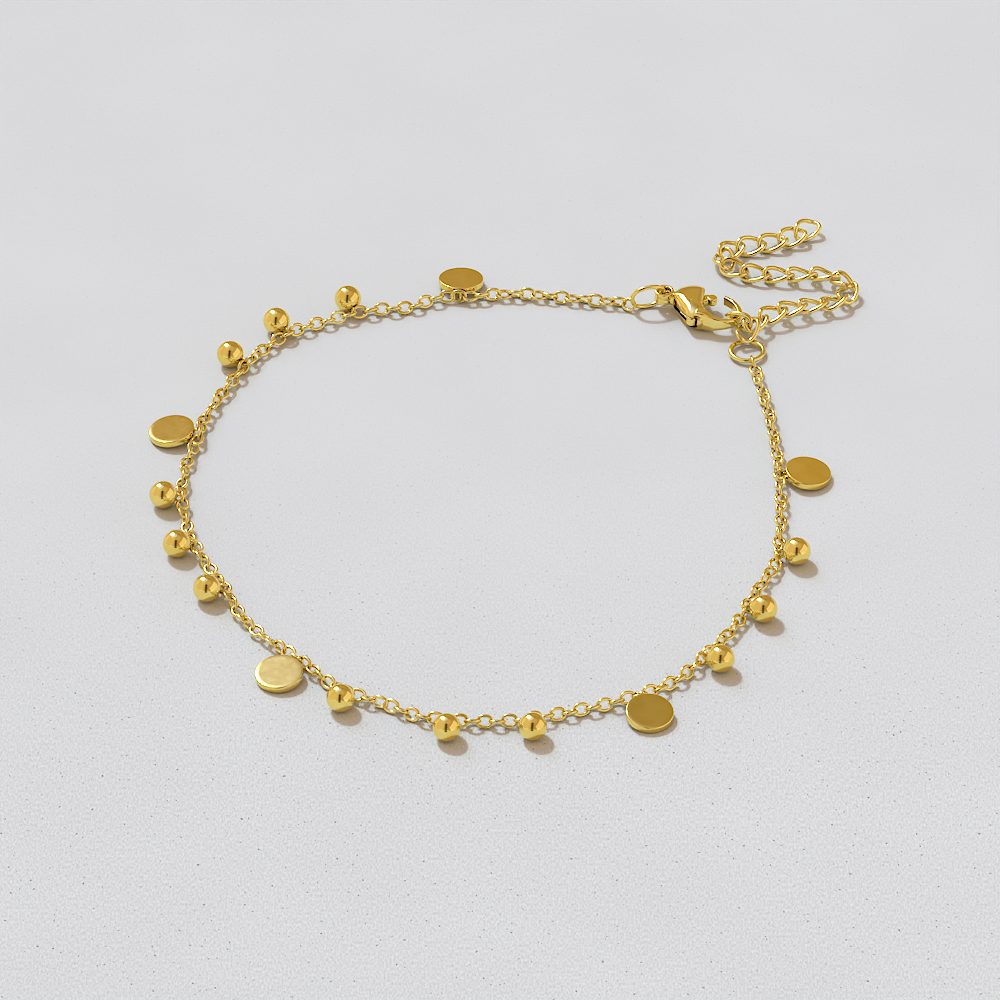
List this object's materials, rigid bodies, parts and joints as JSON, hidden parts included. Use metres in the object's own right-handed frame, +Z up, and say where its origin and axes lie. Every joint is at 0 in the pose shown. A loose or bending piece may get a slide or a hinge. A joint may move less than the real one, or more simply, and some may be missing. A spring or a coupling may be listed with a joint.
{
  "type": "charm anklet",
  "caption": "Fine gold coloured chain anklet with small ball and flat disc charms, a lobster clasp and a curb link extender, laid as a closed loop.",
  "frame": {"origin": "middle of the bottom of the whole part's box, on the surface that the anklet lies on", "axes": "+Z up from that surface, +Y along the longest side, away from the picture's viewer, +X to the picture's right"},
  "size_m": [0.079, 0.0922, 0.0035],
  "materials": {
    "plated_gold": "polished gold plating on the balls and discs",
    "chain_gold": "bright gold plating on fine wire links",
    "clasp_gold": "polished gold plating on cast and wire fittings"
  },
  "bodies": {
    "anklet": {"ball_01": "plated_gold", "ball_02": "plated_gold", "ball_03": "plated_gold", "ball_04": "plated_gold", "ball_05": "plated_gold", "ball_06": "plated_gold", "ball_07": "plated_gold", "ball_08": "plated_gold", "ball_09": "plated_gold", "ball_10": "plated_gold", "ball_11": "plated_gold", "ball_12": "plated_gold", "chain": "chain_gold", "clasp_body": "clasp_gold", "clasp_pin": "clasp_gold", "disc_01": "plated_gold", "disc_02": "plated_gold", "disc_03": "plated_gold", "disc_04": "plated_gold", "disc_05": "plated_gold", "extender_01": "clasp_gold", "extender_02": "clasp_gold", "extender_03": "clasp_gold", "extender_04": "clasp_gold", "extender_05": "clasp_gold", "extender_06": "clasp_gold", "extender_07": "clasp_gold", "extender_08": "clasp_gold", "extender_09": "clasp_gold", "extender_10": "clasp_gold", "extender_11": "clasp_gold", "extender_12": "clasp_gold", "extender_13": "clasp_gold", "extender_14": "clasp_gold", "extender_15": "clasp_gold", "extender_16": "clasp_gold", "extender_17": "clasp_gold", "extender_18": "clasp_gold", "extender_19": "clasp_gold", "extender_20": "clasp_gold", "ring_clasp": "clasp_gold", "ring_end": "clasp_gold"},
    "lever": {"clasp_lever": "clasp_gold"}
  },
  "joints": [
    {"name": "lever_hinge", "type": "hinge", "parent": "anklet", "child": "lever", "pos_m": [0.02028, 0.02905, 0.00138], "axis": [0, 0, -1], "range_deg": [0, 26], "stiffness_Nm_per_rad": 0.0002, "springref_deg": -8.59}
  ]
}
